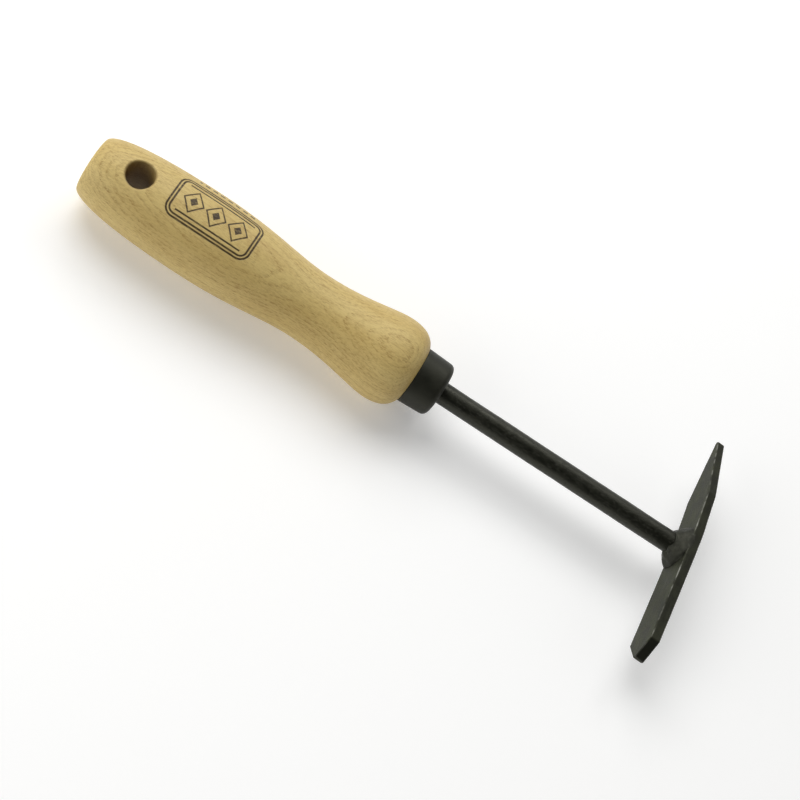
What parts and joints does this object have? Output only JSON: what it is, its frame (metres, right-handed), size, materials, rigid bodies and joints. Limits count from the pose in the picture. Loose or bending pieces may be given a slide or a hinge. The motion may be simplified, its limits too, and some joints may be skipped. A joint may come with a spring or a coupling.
{
  "type": "chipping hammer",
  "caption": "Short one-handed hammer with a turned ash handle, round steel stem and a welded crosswise bar head, pointed at both ends, for chipping and scraping.",
  "frame": {"origin": "on the tool's centre line, in the middle of the hang hole", "axes": "+X runs along the tool from the butt to the head; +Y points along the head bar to the long pick; +Z is square to both and runs across the head bar's width"},
  "size_m": [0.2458, 0.0961, 0.0318],
  "materials": {
    "ash": "turned and sanded ash, thin clear oil, satin",
    "black_ferrule": "matt black coating on drawn steel, slightly worn at the rim",
    "blackened_steel": "rolled round bar with a black scale and lacquer finish, uneven satin",
    "worn_steel": "flat bar, thin black finish over grey steel, bare along the edges",
    "weld": "rippled weld metal under the same thin black finish"
  },
  "bodies": {
    "root": {"handle": "ash", "ferrule": "black_ferrule", "stem": "blackened_steel", "head_bar": "worn_steel", "weld_bead": "weld"}
  },
  "joints": []
}
